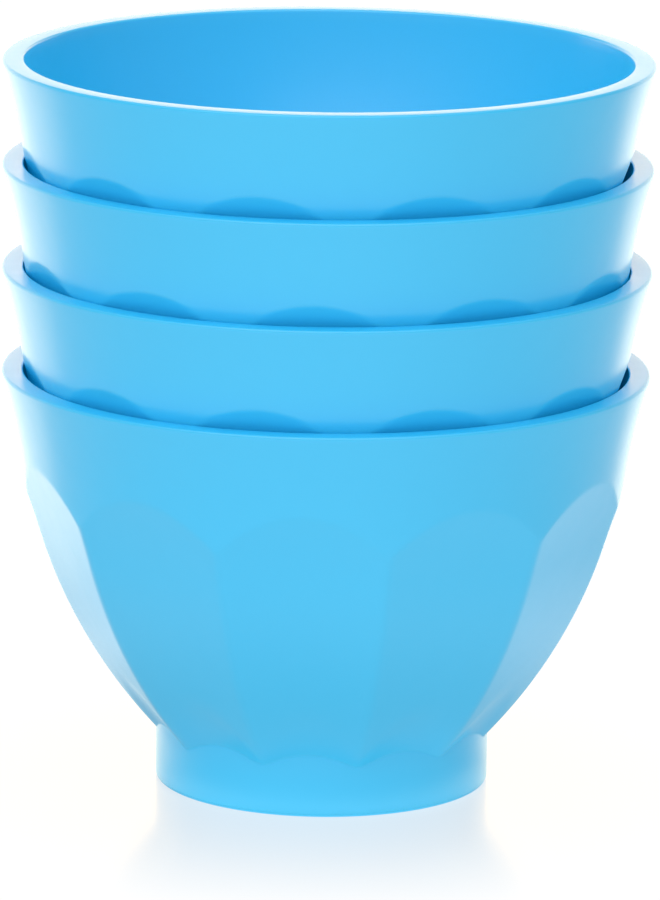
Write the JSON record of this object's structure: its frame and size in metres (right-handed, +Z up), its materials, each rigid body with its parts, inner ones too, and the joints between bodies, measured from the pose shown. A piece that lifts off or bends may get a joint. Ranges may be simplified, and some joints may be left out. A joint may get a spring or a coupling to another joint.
{
  "type": "hair color bowl",
  "caption": "Nested stack of plastic mixing bowls for hair color, each with a faceted lower wall, a plain band flared to the rim and a ring foot.",
  "frame": {"origin": "centre of the lowest bowl's foot, in the plane that it stands on", "axes": "+Z up along the stack's axis, -Y towards the front, +X to the right seen from the front"},
  "size_m": [0.1204, 0.1204, 0.1362],
  "materials": {
    "bottom_bowl": "glossy light blue moulded plastic",
    "second_bowl": "glossy light blue moulded plastic",
    "third_bowl": "glossy light blue moulded plastic",
    "top_bowl": "glossy light blue moulded plastic"
  },
  "bodies": {
    "bottom": {"bottom_bowl": "bottom_bowl"},
    "second": {"second_bowl": "second_bowl"},
    "third": {"third_bowl": "third_bowl"},
    "top": {"top_bowl": "top_bowl"}
  },
  "joints": [
    {"name": "second_lift", "type": "slide", "parent": "bottom", "child": "second", "axis": [0, 0, 1], "range_m": [0, 0.07]},
    {"name": "third_lift", "type": "slide", "parent": "second", "child": "third", "axis": [0, 0, 1], "range_m": [0, 0.07]},
    {"name": "top_lift", "type": "slide", "parent": "third", "child": "top", "axis": [0, 0, 1], "range_m": [0, 0.07]}
  ]
}
